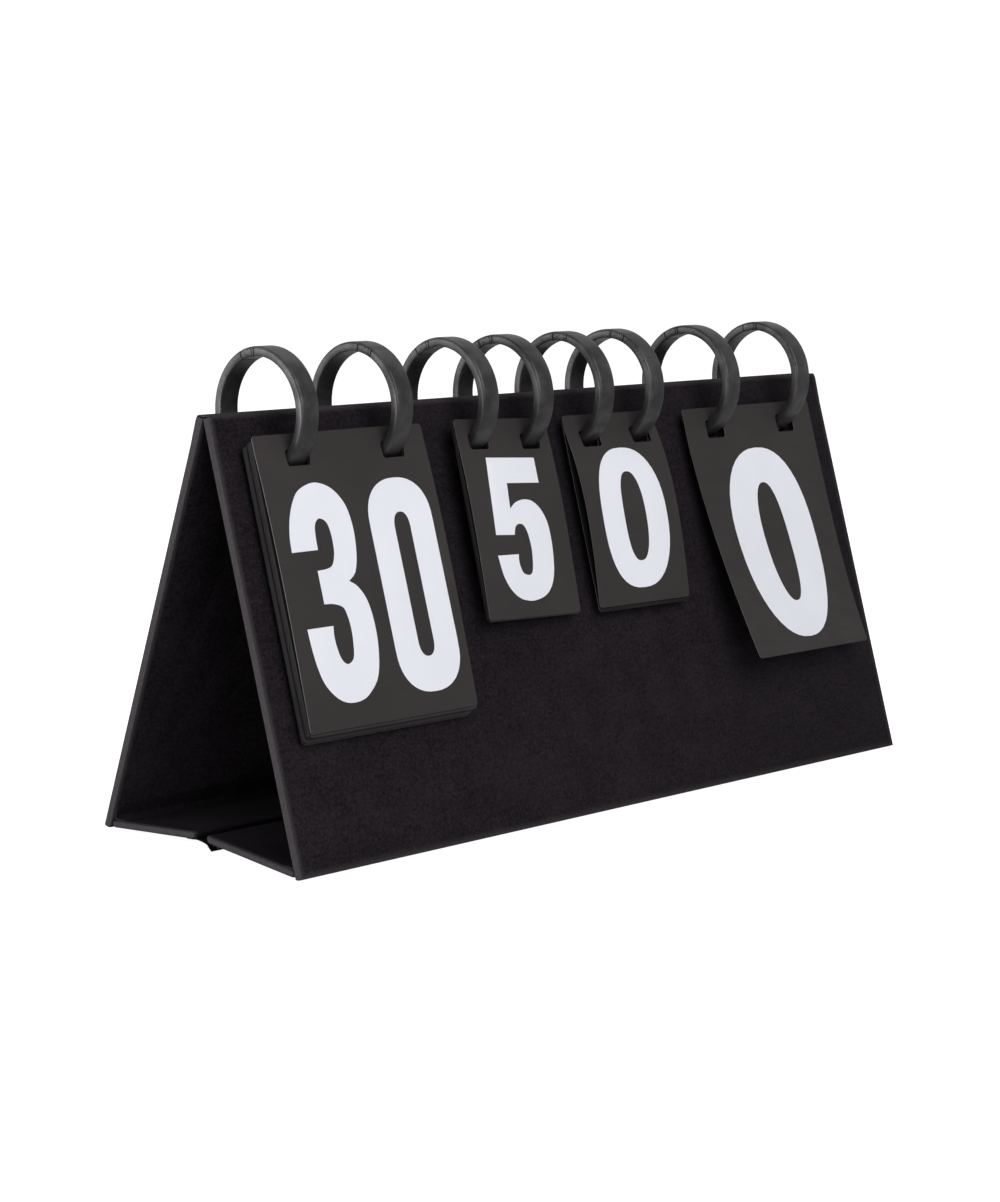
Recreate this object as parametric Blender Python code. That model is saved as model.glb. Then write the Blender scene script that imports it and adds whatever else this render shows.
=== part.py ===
import math

import bmesh
import bpy
from mathutils import Matrix

# All sizes below are in millimetres; the meshes are written in metres.
MM = 0.001

# Stand: two covered boards leaning together.
WIDTH = 385.0
APEX_Z = 185.08
HALF_ANGLE = math.radians(18.03)
RIDGE_GAP = 0.1406711
FOOT_TOE = 2.1129683
PANEL_T = 3.4
CLOTH = 0.5
CLEAR = 0.3
EDGE_ROUND = 0.5

# Ring slots in the panels.
PANEL_SLOT_W = 13.0
PANEL_SLOT_TOP = 28.4
SLOT_ROUND = 1.4

# Base flaps, hinged inside the feet, and the tabs that join them in the middle.
FLAP_T = 3.0
FLAP_SLOPE = math.radians(5.0)
PIVOT_Z = 3.4
PIVOT_OFF = 0.15
FLAP_GAP_HALF = 3.3
FLAP_UNDERCUT = 1.2
TAB_T = 0.6
TAB_HALF = 189.0
TAB_REACH = 1.0745405896551259
TAB_DROP = 2.970432339061014

# Binding rings.
RING_OUTER = 25.7
RING_INNER = 22.2
RING_BAND = 9.06
RING_CHAMFER = 0.75
RING_DROP = 10.18
RING_X = (-159.3, -107.2, -56.7, -22.8, 16.4, 49.8, 103.5, 155.0)
CLASP_TURN = (15.5, -15.0, 27.0, 15.5, -2.0, -12.0, 21.0, 9.0)
RING_STEPS = 18
CLASP_REACH = 1.7
CLASP_GAP = 0.55
OPENING_DEG = 8.0
PIN_R = 0.6
BARREL_R = 1.45
BARREL_HALF = 1.35

# Cards: width, height, thickness and the slots that hang them.
BIG_W = 92.8
BIG_H = 118.5
SMALL_W = 60.0
SMALL_H = 85.5
BIG = (BIG_W, BIG_H)
SMALL = (SMALL_W, SMALL_H)
CARD_T = 0.3
CARD_ROUND = 1.6
CARD_SLOT_W = 12.5
CARD_SLOT_PLAY = 3.5
CARD_SLOT_H = RING_OUTER - RING_INNER + CARD_SLOT_PLAY
BEND_ROWS = 12
CURL_POWER = 3.2
BOW_POWER = 0.8
HANG_CLEAR = 0.35
FOLD_CLEAR = 0.3
AIR = 0.5

SIN_A = math.sin(HALF_ANGLE)
COS_A = math.cos(HALF_ANGLE)
PANEL_TOP = (PANEL_T * COS_A + RIDGE_GAP) / SIN_A
PANEL_FOOT = (APEX_Z - FOOT_TOE * SIN_A) / COS_A
RING_Z = APEX_Z - RING_DROP
RING_MID = (RING_OUTER + RING_INNER) / 2
RING_V = (APEX_Z - RING_Z) * COS_A
RING_N = -(APEX_Z - RING_Z) * SIN_A

for old in list(bpy.data.objects):
    bpy.data.objects.remove(old, do_unlink=True)


# Materials
def material(name, color, roughness):
    made = bpy.data.materials.new(name)
    made.use_nodes = True
    shader = made.node_tree.nodes["Principled BSDF"]
    shader.inputs["Base Color"].default_value = (*color, 1.0)
    shader.inputs["Roughness"].default_value = roughness
    return made


CLOTH_COLOR = (0.018, 0.015, 0.018)
BOARD_COLOR = (0.22, 0.2, 0.17)
CARD_COLOR = (0.042, 0.038, 0.035)
RING_COLOR = (0.012, 0.012, 0.013)
HOOK_COLOR = (0.02, 0.02, 0.022)


# Mesh helpers
def keep(name, mesh, color, roughness, matrix, smooth=False):
    made = bpy.data.objects.new(name, mesh)
    bpy.context.scene.collection.objects.link(made)
    made.matrix_world = matrix
    if not mesh.materials:
        mesh.materials.append(material(name, color, roughness))
    if smooth:
        mesh.shade_smooth()
        mesh.set_sharp_from_angle(angle=math.radians(35))
    return made


def mesh_from(bm, name):
    bmesh.ops.remove_doubles(bm, verts=bm.verts, dist=1e-7)
    bmesh.ops.recalc_face_normals(bm, faces=bm.faces)
    mesh = bpy.data.meshes.new(name)
    bm.to_mesh(mesh)
    bm.free()
    return mesh


def loft(name, sections):
    """A closed body through sections of equal point count, capped at both ends."""
    bm = bmesh.new()
    rows = [[bm.verts.new((x * MM, y * MM, z * MM)) for x, y, z in section] for section in sections]
    for low, high in zip(rows, rows[1:]):
        for i in range(len(low)):
            j = (i + 1) % len(low)
            bm.faces.new((low[i], low[j], high[j], high[i]))
    bm.faces.new(rows[0])
    bm.faces.new(rows[-1])
    return mesh_from(bm, name)


def prism_x(name, outline, x0, x1):
    """The (y, z) outline swept along X."""
    return loft(name, [[(x, y, z) for y, z in outline] for x in (x0, x1)])


def rounded(x0, x1, z0, z1, radius, steps=2):
    """A rectangle in (x, z) with rounded corners."""
    points = []
    centres = ((x1 - radius, z1 - radius, 0), (x0 + radius, z1 - radius, 90))
    centres += ((x0 + radius, z0 + radius, 180), (x1 - radius, z0 + radius, 270))
    for cx, cz, start in centres:
        for i in range(steps + 1):
            a = math.radians(start + 90 * i / steps)
            points.append((cx + radius * math.cos(a), cz + radius * math.sin(a)))
    return points


def add_prism_y(bm, outline, y0, y1):
    rows = [[bm.verts.new((x * MM, y * MM, z * MM)) for x, z in outline] for y in (y0, y1)]
    for i in range(len(outline)):
        j = (i + 1) % len(outline)
        bm.faces.new((rows[0][i], rows[0][j], rows[1][j], rows[1][i]))
    bm.faces.new(rows[0])
    bm.faces.new(rows[1])


def helper(name, mesh, matrix):
    """A Boolean cutter: never rendered."""
    made = bpy.data.objects.new(name, mesh)
    bpy.context.scene.collection.objects.link(made)
    made.matrix_world = matrix
    made.hide_render = True
    made.display_type = "WIRE"
    return made


def boolean(body, other, operation="DIFFERENCE"):
    made = body.modifiers.new(operation.lower(), "BOOLEAN")
    made.operation = operation
    made.solver = "EXACT"
    made.object = other


def bevel(body, width, segments=2):
    made = body.modifiers.new("soft_edges", "BEVEL")
    made.width = width * MM
    made.segments = segments
    made.limit_method = "ANGLE"
    made.angle_limit = math.radians(40)


def ribbon(path, low, high):
    """The outline of a strip that follows path, between two offsets to its left."""
    count = len(path)
    normals = []
    for i in range(count):
        (y0, z0), (y1, z1) = path[max(i - 1, 0)], path[min(i + 1, count - 1)]
        size = math.hypot(y1 - y0, z1 - z0)
        normals.append((-(z1 - z0) / size, (y1 - y0) / size))
    sides = []
    for off in (low, high):
        sides.append([(y + ny * off, z + nz * off) for (y, z), (ny, nz) in zip(path, normals)])
    return sides[0] + sides[1][::-1]


def smooth_path(points, steps=4):
    """A Catmull-Rom curve through the points."""
    ends = [points[0]] + list(points) + [points[-1]]
    path = []
    for i in range(1, len(ends) - 2):
        p0, p1, p2, p3 = ends[i - 1 : i + 3]
        for k in range(steps):
            t = k / steps
            point = []
            for a, b, c, d in zip(p0, p1, p2, p3):
                square = 2 * a - 5 * b + 4 * c - d
                cube = 3 * b - a - 3 * c + d
                point.append(0.5 * (2 * b + (c - a) * t + square * t**2 + cube * t**3))
            path.append(tuple(point))
    path.append(points[-1])
    return path


# Frames: n is the height above a panel's outer face, v the distance down it from the virtual apex.
def panel_frame(side):
    """side is -1 for the front panel and 1 for the rear one. Local point: (x, side * n, -v)."""
    return Matrix.Translation((0, 0, APEX_Z * MM)) @ Matrix.Rotation(side * HALF_ANGLE, 4, "X")


def world_yz(side, n, v):
    return (side * (v * SIN_A + n * COS_A), APEX_Z + n * SIN_A - v * COS_A)


def frame_empty(name, matrix):
    made = bpy.data.objects.new(name, None)
    bpy.context.scene.collection.objects.link(made)
    made.matrix_world = matrix
    return made


def parent_to(body, frame):
    body.parent = frame
    body.matrix_parent_inverse = frame.matrix_world.inverted()


# The ridge axis: where the inner edges of the two panels all but meet.
RIDGE_Z = world_yz(1, -PANEL_T, PANEL_TOP)[1]
ridge_axis = frame_empty("ridge_axis", Matrix.Translation((0, 0, RIDGE_Z * MM)))


def ring_cross(radius, n):
    """How far down the panel a circle about the ring's centre lies, at height n above the outer face."""
    return RING_V + math.sqrt(radius**2 - (n - RING_N) ** 2)


# A ring half that swings open on its pin needs the loose slot.
LOOSE_SIDE = (1, 1, 1, 1, 1, 1, -1, -1)
SLOT_SEAT = ring_cross(RING_OUTER, RING_N) + CLEAR
CROSS_DEG = 25.5
# Room for a ring whose pin lies in the other panel's slot.
PIN_PLAY = 0.9


def swing(turn, loose):
    """How far the swinging half drops where it passes its panel; the pin sits opposite the clasp."""
    reach = math.radians(CROSS_DEG + loose * turn)
    return 2 * RING_MID * math.sin(reach / 2) * math.sin(math.radians(OPENING_DEG))


def slot_cutter(name, side, grow):
    bm = bmesh.new()
    for x, loose, turn in zip(RING_X, LOOSE_SIDE, CLASP_TURN):
        bottom = SLOT_SEAT
        if loose == side:
            bottom += swing(turn, loose) + CLEAR
        elif loose * turn > 20.0:
            bottom += PIN_PLAY
        half = PANEL_SLOT_W / 2 + grow
        outline = rounded(x - half, x + half, -bottom - grow, -PANEL_SLOT_TOP + grow, SLOT_ROUND)
        add_prism_y(bm, outline, -PANEL_T - 2, PANEL_T + 2)
    return helper(name, mesh_from(bm, name), panel_frame(side))


def panel(side, word):
    frame = frame_empty(f"{word}_frame", panel_frame(side))
    if side > 0:
        parent_to(frame, ridge_axis)
    foot_in = (APEX_Z - PANEL_T * SIN_A) / COS_A
    foot_out = (APEX_Z - PANEL_FOOT * COS_A) / SIN_A
    outline = [(0, PANEL_TOP), (0, PANEL_FOOT), (-foot_out, PANEL_FOOT)]
    outline += [(-PANEL_T, foot_in), (-PANEL_T, PANEL_TOP)]
    section = [(side * n, -v) for n, v in outline]
    mesh = prism_x("cover", section, -WIDTH / 2, WIDTH / 2)
    cover = keep(f"{word}_cover", mesh, CLOTH_COLOR, 0.75, panel_frame(side))
    bevel(cover, EDGE_ROUND)
    room = (PANEL_TOP + CLOTH, PANEL_FOOT - CLOTH - 0.15)
    inner = CLOTH - PANEL_T
    corners = ((-CLOTH, room[0]), (-CLOTH, room[1]), (inner, room[1]), (inner, room[0]))
    hollow = [(side * n, -v) for n, v in corners]
    half = WIDTH / 2 - CLOTH
    hollow = prism_x("hollow", hollow, -half, half)
    boolean(cover, helper(f"{word}_cover_hollow", hollow, panel_frame(side)))
    boolean(cover, slot_cutter(f"{word}_cover_slots", side, 0.0))
    parent_to(cover, frame)
    inset = CLOTH + CLEAR
    inner = inset - PANEL_T
    low, high = room[0] + CLEAR, room[1] - CLEAR
    section = [(side * n, -v) for n, v in ((-inset, low), (-inset, high), (inner, high), (inner, low))]
    half -= CLEAR
    mesh = prism_x("board", section, -half, half)
    board = keep(f"{word}_board", mesh, BOARD_COLOR, 0.9, panel_frame(side))
    boolean(board, slot_cutter(f"{word}_board_slots", side, 0.8))
    parent_to(board, frame)
    return frame


# Base flap. Local point: (x, -side * u, w), u inwards from the pivot, w up.
PIVOT_V = (APEX_Z - (PANEL_T + PIVOT_OFF) * SIN_A - PIVOT_Z) / COS_A
PIVOT_Y = PIVOT_V * SIN_A - (PANEL_T + PIVOT_OFF) * COS_A
FLAP_LENGTH = (PIVOT_Y - FLAP_GAP_HALF) / math.cos(FLAP_SLOPE)


def flap_frame(side):
    place = Matrix.Translation((0, side * PIVOT_Y * MM, PIVOT_Z * MM))
    return place @ Matrix.Rotation(-side * FLAP_SLOPE, 4, "X")


def flap_yz(side, u, w):
    y = side * (PIVOT_Y - u * math.cos(FLAP_SLOPE) + w * math.sin(FLAP_SLOPE))
    return (y, PIVOT_Z + u * math.sin(FLAP_SLOPE) + w * math.cos(FLAP_SLOPE))


def flap(side, word):
    frame = frame_empty(f"{word}_flap_frame", flap_frame(side))
    top, bottom = -PIVOT_OFF, -PIVOT_OFF - FLAP_T
    tip = FLAP_LENGTH - FLAP_UNDERCUT
    outline = [(PIVOT_OFF, top), (PIVOT_OFF, bottom), (tip, bottom), (FLAP_LENGTH, top)]
    section = [(-side * u, w) for u, w in outline]
    mesh = prism_x("flap", section, -WIDTH / 2, WIDTH / 2)
    cover = keep(f"base_{word}_cover", mesh, CLOTH_COLOR, 0.75, flap_frame(side))
    bevel(cover, 0.35)
    half = WIDTH / 2 - CLOTH
    u0, u1 = -1.0, tip - CLOTH
    w0, w1 = bottom + CLOTH, top - CLOTH
    hollow = [(-side * u, w) for u, w in ((u0, w1), (u0, w0), (u1, w0), (u1, w1))]
    boolean(cover, helper(f"base_{word}_hollow", prism_x("hollow", hollow, -half, half), flap_frame(side)))
    parent_to(cover, frame)
    inset = CLOTH + CLEAR
    u0, u1 = PIVOT_OFF + CLEAR, tip - inset
    w0, w1 = bottom + inset, top - inset
    section = [(-side * u, w) for u, w in ((u0, w1), (u0, w0), (u1, w0), (u1, w1))]
    half -= CLEAR
    mesh = prism_x("board", section, -half, half)
    board = keep(f"base_{word}_board", mesh, BOARD_COLOR, 0.9, flap_frame(side))
    parent_to(board, frame)


def strip(name, path, low, high, half):
    mesh = prism_x(name, ribbon(path, low, high), -half, half)
    color = HOOK_COLOR if name in ("hook_strip", "loop_strip") else CLOTH_COLOR
    return keep(name, mesh, color, 0.85, Matrix.Identity(4), smooth=True)


panel(-1, "front")
panel(1, "rear")
flap(-1, "front")
flap(1, "rear")

# Ridge cloth: laps both outer faces a little and dips between the two top edges.
STRIP_T = 0.4
ridge_off = CLEAR + STRIP_T / 2
lap = [world_yz(-1, ridge_off, v) for v in (15.0, PANEL_TOP + 1.2)]
corner = world_yz(-1, 0.0, PANEL_TOP)
lap.append((corner[0] - 0.05, corner[1] + ridge_off + 0.05))
dip = (0.0, corner[1] + ridge_off - 0.35)
half_path = lap + [(-1.6, corner[1] + ridge_off - 0.12)]
ridge_path = half_path + [dip] + [(-y, z) for y, z in half_path[::-1]]
strip("ridge_hinge", smooth_path(ridge_path, 3), -STRIP_T / 2, STRIP_T / 2, WIDTH / 2 - 1.0)

# Foot cloths: glued inside the fold, up the panel and along the flap's top.
for side, word in ((-1, "front"), (1, "rear")):
    up = [world_yz(side, -PANEL_T - ridge_off, v) for v in (PIVOT_V - 11.0, PIVOT_V - 4.0, PIVOT_V - 1.6)]
    along = [flap_yz(side, u, -PIVOT_OFF + ridge_off) for u in (1.6, 4.0, 11.0)]
    path = smooth_path(up + along, 3)
    if side > 0:
        path = path[::-1]
    strip(f"foot_hinge_{word}", path, -STRIP_T / 2, STRIP_T / 2, WIDTH / 2 - 1.5)

# Tabs: each is glued under its flap, turns down at the free edge and leans to the front.
under = -PIVOT_OFF - FLAP_T - CLEAR - TAB_T / 2
TAB_PITCH = TAB_T + CLEAR
edge = flap_yz(-1, FLAP_LENGTH, -PIVOT_OFF - FLAP_T)
tab_end = (edge[0] - TAB_REACH, edge[1] - TAB_DROP)
lean = (-0.80, -0.60)
side_step = (0.60, -0.80)


def tab_point(place, along):
    """A point of the pressed tabs: place 0 to 3 from the front, along is measured up from the lower end."""
    off = (place - 1.5) * TAB_PITCH
    return (
        tab_end[0] - lean[0] * along + side_step[0] * off,
        tab_end[1] - lean[1] * along + side_step[1] * off,
    )


for side, name, place in ((-1, "tab_front", 0), (1, "tab_rear", 3)):
    glued = [flap_yz(side, FLAP_LENGTH - back, under) for back in (9.0, 5.0, 2.6 if side < 0 else 2.2)]
    down = [tab_point(place, along) for along in ((1.9, 0.9, 0.0) if side < 0 else (4.2, 2.0, 0.0))]
    strip(name, smooth_path(glued + down, 3), -TAB_T / 2, TAB_T / 2, TAB_HALF)
for name, place in (("hook_strip", 1), ("loop_strip", 2)):
    top_end = 2.2 if place == 1 else 3.0
    path = [tab_point(place, along) for along in (top_end, 0.0)]
    strip(name, path, -TAB_T / 2, TAB_T / 2, TAB_HALF - 3.0)


# Ring halves. phi runs from the pin (0) to the clasp (180); side -1 is the front half.
def ring_outline(side, inset):
    outer, inner = RING_OUTER - inset, RING_INNER + inset

    def point(radius, phi):
        return (side * radius * math.sin(phi), -radius * math.cos(phi))

    # One zig-zag divides the halves: its point leans to the rear, and each half stops short of it.
    past = math.pi + (CLASP_REACH - CLASP_GAP / 2) / RING_MID
    short = math.pi - (CLASP_REACH + CLASP_GAP / 2) / RING_MID
    rim, middle = (short, past) if side < 0 else (past, short)
    points = [point(outer, rim * i / RING_STEPS) for i in range(RING_STEPS + 1)]
    points.append(point(RING_MID, middle))
    points += [point(inner, rim * i / RING_STEPS) for i in range(RING_STEPS, -1, -1)]
    return points


def ring_band(side, name):
    half = RING_BAND / 2
    flat = half - RING_CHAMFER
    sections = []
    for x, inset in ((-half, RING_CHAMFER), (-flat, 0.0), (flat, 0.0), (half, RING_CHAMFER)):
        sections.append([(x, y, z) for y, z in ring_outline(side, inset)])
    return loft(name, sections)


def pin_cylinder(name, radius, spans, steps=18):
    """Cylinders about the pin, one for each (x0, x1)."""
    bm = bmesh.new()
    for x0, x1 in spans:
        rows = []
        for x in (x0, x1):
            row = []
            for i in range(steps):
                a = 2 * math.pi * (i + 0.3) / steps
                y, z = radius * math.cos(a), radius * math.sin(a) - RING_MID
                row.append(bm.verts.new((x * MM, y * MM, z * MM)))
            rows.append(row)
        for i in range(steps):
            j = (i + 1) % steps
            bm.faces.new((rows[0][i], rows[0][j], rows[1][j], rows[1][i]))
        bm.faces.new(rows[0])
        bm.faces.new(rows[1])
    return helper(name, mesh_from(bm, name), Matrix.Identity(4))


def baked(body, name):
    """The evaluated mesh of a template, and the template removed."""
    graph = bpy.context.evaluated_depsgraph_get()
    mesh = bpy.data.meshes.new_from_object(body.evaluated_get(graph))
    mesh.name = name
    bpy.data.objects.remove(body, do_unlink=True)
    return mesh


def ring_meshes():
    relief = BARREL_R + 2 * CLEAR
    cheek = BARREL_HALF + CLEAR
    far = RING_BAND / 2 - 0.45
    step = 0.05
    front = helper("ring_front_template", ring_band(-1, "ring_front"), Matrix.Identity(4))
    rear = helper("ring_rear_template", ring_band(1, "ring_rear"), Matrix.Identity(4))
    tools = []

    def tool(*args):
        tools.append(pin_cylinder(f"pin_tool_{len(tools)}", *args))
        return tools[-1]

    boolean(front, tool(relief, [(-6, -BARREL_HALF), (BARREL_HALF, 6)]))
    boolean(front, tool(BARREL_R, [(step - BARREL_HALF, BARREL_HALF - step)]), "UNION")
    boolean(front, tool(PIN_R + CLEAR, [(-3, 3)], 12))
    boolean(rear, tool(relief, [(-cheek, cheek)]))
    boolean(rear, tool(BARREL_R, [(-far, -cheek - step), (cheek + step, far)]), "UNION")
    boolean(rear, tool(PIN_R, [(-cheek - 0.4, cheek + 0.4)], 12), "UNION")
    made = baked(front, "ring_half_front"), baked(rear, "ring_half_rear")
    for used in tools:
        bpy.data.objects.remove(used, do_unlink=True)
    return made


front_mesh, rear_mesh = ring_meshes()
for number, (x, turn) in enumerate(zip(RING_X, CLASP_TURN), 1):
    place = Matrix.Translation((x * MM, 0, RING_Z * MM))
    axis = frame_empty(f"ring_{number}_axis", place)
    for word, mesh in (("front", front_mesh), ("rear", rear_mesh)):
        spun = place @ Matrix.Rotation(math.radians(-turn), 4, "X")
        half_ring = keep(f"ring_{number}_{word}", mesh, RING_COLOR, 0.35, spun, smooth=True)
        parent_to(half_ring, axis)


# Cards turn about the line through the ring centres.
card_axis = frame_empty("card_axis", Matrix.Translation((0, 0, RING_Z * MM)))


# A bundle is a run of cards sheared by the ring, each layer lower than the one in front of it.
def card_set(name, side, size, rings, n_back, n_front, layers, centre_x, top_front, tilt=0.0, yaw=0.0):
    """One closed body between two heights above the panel. top_front is v of the top edge at n_front."""
    width, height = size
    place = panel_frame(side) @ Matrix.Translation((centre_x * MM, 0, 0))
    turn = Matrix.Translation((0, side * n_front * MM, -top_front * MM))
    turn = turn @ Matrix.Rotation(tilt, 4, "Y") @ Matrix.Rotation(yaw, 4, "Z")
    place = place @ turn
    thick = n_front - n_back
    step = thick / layers
    stairs = []
    for i in range(layers):
        drop = ring_cross(RING_INNER, n_front - i * step) - ring_cross(RING_INNER, n_front)
        stairs.append((-i * step, -(i + 1) * step, drop))

    def stair_outline(levels, v_top, v_low):
        """Stairs in (y, z) for edges at v_top and v_low below the card's top."""
        upper, lower = [], []
        for y0, y1, drop in levels:
            upper += [(side * y0, -v_top - drop), (side * y1, -v_top - drop)]
            lower += [(side * y0, -v_low - drop), (side * y1, -v_low - drop)]
        return upper + lower[::-1]

    if layers == 1:
        bm = bmesh.new()
        outline = rounded(-width / 2, width / 2, -height, 0.0, CARD_ROUND)
        add_prism_y(bm, outline, 0.0, -side * thick)
        mesh = mesh_from(bm, name)
    else:
        mesh = prism_x(name, stair_outline(stairs, 0.0, height), -width / 2, width / 2)
    body = keep(name, mesh, CARD_COLOR, 0.8, place)
    bm = bmesh.new()
    for x in rings:
        local_x = (x - centre_x) / math.cos(yaw) / math.cos(tilt)
        height_here = n_front + side * local_x * math.sin(yaw)
        slot_top = ring_cross(RING_INNER, height_here) - HANG_CLEAR - top_front
        slot_h = CARD_SLOT_H
        if side > 0:
            slot_top -= FOLD_CLEAR
            slot_h += 2 * FOLD_CLEAR
        slot_top -= local_x * math.tan(tilt)
        low_x, high_x = local_x - CARD_SLOT_W / 2, local_x + CARD_SLOT_W / 2
        if layers == 1:
            outline = rounded(low_x, high_x, -slot_top - slot_h, -slot_top, SLOT_ROUND)
            add_prism_y(bm, outline, 3.0, -3.0)
        else:
            through = [list(level) for level in stairs]
            through[0][0] = 1.0
            through[-1][1] = -thick - 1.0
            outline = stair_outline(through, slot_top, slot_top + slot_h)
            rows = []
            for lx in (low_x, high_x):
                rows.append([bm.verts.new((lx * MM, y * MM, z * MM)) for y, z in outline])
            for i in range(len(outline)):
                j = (i + 1) % len(outline)
                bm.faces.new((rows[0][i], rows[0][j], rows[1][j], rows[1][i]))
            bm.faces.new(rows[0])
            bm.faces.new(rows[1])
    boolean(body, helper(f"{name}_slots", mesh_from(bm, f"{name}_slots"), place))
    parent_to(body, card_axis)
    return body


def bend(name, size, start, left=0.0, right=0.0, bow=0.0):
    """Bends a hanging card outwards below its slots: its lower corners by left and right, the rest by bow."""
    width, height = size
    graph = bpy.context.evaluated_depsgraph_get()
    body = bpy.data.objects[name]
    mesh = bpy.data.meshes.new_from_object(body.evaluated_get(graph))
    bm = bmesh.new()
    bm.from_mesh(mesh)
    for i in range(BEND_ROWS):
        z = -(start + (height - start) * i / BEND_ROWS) * MM
        geometry = list(bm.verts) + list(bm.edges) + list(bm.faces)
        bmesh.ops.bisect_plane(bm, geom=geometry, plane_co=(0, 0, z), plane_no=(0, 0, 1))
    if left != right:
        for i in range(1, 6):
            x = width * (i / 6 - 0.5) * MM
            geometry = list(bm.verts) + list(bm.edges) + list(bm.faces)
            bmesh.ops.bisect_plane(bm, geom=geometry, plane_co=(x, 0, 0), plane_no=(1, 0, 0))
    bmesh.ops.triangulate(bm, faces=bm.faces)
    for vert in bm.verts:
        s = min(1.0, max(0.0, (-vert.co.z / MM - start) / (height - start)))
        across = vert.co.x / MM / width + 0.5
        lift = (left * (1 - across) + right * across) * s**CURL_POWER
        lift += bow * math.sin(math.pi * s**BOW_POWER)
        vert.co.y -= lift * MM
    bm.to_mesh(mesh)
    bm.free()
    body.modifiers.clear()
    body.data = mesh
    bpy.data.objects.remove(bpy.data.objects[f"{name}_slots"], do_unlink=True)


def bundle_run(prefix, letters, side, rings, n_back, n_front, centre_x, top_at):
    """Bundles of large cards one behind the other, front to back, the clear gap between each."""
    count = len(letters)
    thick = (n_front - n_back - CLEAR * (count - 1)) / count
    for i, letter in enumerate(letters):
        front = n_front - i * (thick + CLEAR)
        card_set(f"{prefix}_{letter}", side, BIG, rings, front - thick, front, 3, centre_x, top_at(front))


# Left large set, 31 cards in front.
L_RINGS, S_RINGS, T_RINGS, R_RINGS = RING_X[0:2], RING_X[2:4], RING_X[4:6], RING_X[6:8]
L_X, L_FRONT, L_TOP = -134.8, 9.5, 21.4
card_set("card_l30", -1, BIG, L_RINGS, L_FRONT - CARD_T, L_FRONT, 1, L_X, L_TOP)
bend("card_l30", BIG, 14.0, bow=1.45)


def top_like(n0, top0):
    """Top edge of a card at height n in a set whose front card is at n0 with its top at top0."""
    return lambda n: top0 + ring_cross(RING_INNER, n) - ring_cross(RING_INNER, n0)


L_BACK = L_FRONT - CARD_T - CLEAR
bundle_run("bundle_l", "abcd", -1, L_RINGS, AIR, L_BACK, L_X, top_like(L_FRONT, L_TOP))

# Small left set: the front cards stand off the panel at their left edge.
S_X, S_TOP = -41.3, 21.9
S_MID, S_YAW, S_TILT = 8.4, math.radians(5.0), math.radians(1.6)
S_BACK, S_BACK_TOP = S_MID - 0.6, S_TOP + 0.5
card_set("card_s5", -1, SMALL, S_RINGS, S_MID - CARD_T, S_MID, 1, S_X, S_TOP, S_TILT, S_YAW)
bend("card_s5", SMALL, 15.0, bow=1.25)
card_set("bundle_s5_a", -1, SMALL, S_RINGS, S_BACK - 1.5, S_BACK, 2, S_X, S_BACK_TOP, S_TILT, S_YAW)
card_set("bundle_s5_b", 1, SMALL, S_RINGS, AIR, AIR + 1.2, 2, -39.75, 24.4)

# Small right set: its front card bows off the cards behind it.
T_X, T_FRONT, T_TOP, T_TILT = 31.8, 5.8, 23.3, math.radians(0.6)
T_BACK, T_BACK_TOP = T_FRONT - 0.6, T_TOP + 0.35
card_set("card_t0", -1, SMALL, T_RINGS, T_FRONT - CARD_T, T_FRONT, 1, T_X, T_TOP, T_TILT)
bend("card_t0", SMALL, 15.0, bow=3.7)
card_set("bundle_t0_a", -1, SMALL, T_RINGS, T_BACK - 0.6, T_BACK, 1, T_X, T_BACK_TOP, T_TILT)
card_set("bundle_t0_b", 1, SMALL, T_RINGS, AIR, AIR + 2.7, 3, 33.1, 24.4)

# Right large set: one curled card in front, thirty flipped to the back.
R_X, R_FRONT, R_TOP = 128.9, 5.5, 24.8
card_set("card_r0", -1, BIG, R_RINGS, R_FRONT - CARD_T, R_FRONT, 1, R_X, R_TOP)
bend("card_r0", BIG, 14.0, left=15.5, right=5.8)
bundle_run("bundle_r", "abcd", 1, R_RINGS, AIR, L_FRONT - CARD_T, 129.25, top_like(L_FRONT, L_TOP))
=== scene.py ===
import functools
import math
import random

import bmesh
import bpy
from mathutils import Matrix, Vector
from mathutils.geometry import delaunay_2d_cdt


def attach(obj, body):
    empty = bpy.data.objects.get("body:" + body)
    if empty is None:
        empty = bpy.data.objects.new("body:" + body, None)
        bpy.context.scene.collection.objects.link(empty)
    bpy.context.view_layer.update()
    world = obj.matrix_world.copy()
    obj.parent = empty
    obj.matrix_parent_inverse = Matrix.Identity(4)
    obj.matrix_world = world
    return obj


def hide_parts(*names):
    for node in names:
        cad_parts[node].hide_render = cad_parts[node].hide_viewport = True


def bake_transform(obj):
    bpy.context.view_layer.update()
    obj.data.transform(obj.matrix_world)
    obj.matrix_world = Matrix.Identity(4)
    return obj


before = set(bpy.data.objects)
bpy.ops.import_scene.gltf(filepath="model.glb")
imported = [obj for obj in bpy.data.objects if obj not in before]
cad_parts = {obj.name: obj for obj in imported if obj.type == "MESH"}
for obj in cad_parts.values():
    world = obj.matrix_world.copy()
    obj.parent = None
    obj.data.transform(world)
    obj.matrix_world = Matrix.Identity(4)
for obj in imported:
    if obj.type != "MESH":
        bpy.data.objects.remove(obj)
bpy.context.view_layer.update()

# Sizes in millimetres, written to the meshes in metres. Most are the part's own.
MM = 0.001
WIDTH = 385.0
APEX_Z = 185.08
HALF_ANGLE = math.radians(18.03)
SIN_A, COS_A = math.sin(HALF_ANGLE), math.cos(HALF_ANGLE)
CLEAR = 0.3

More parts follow.
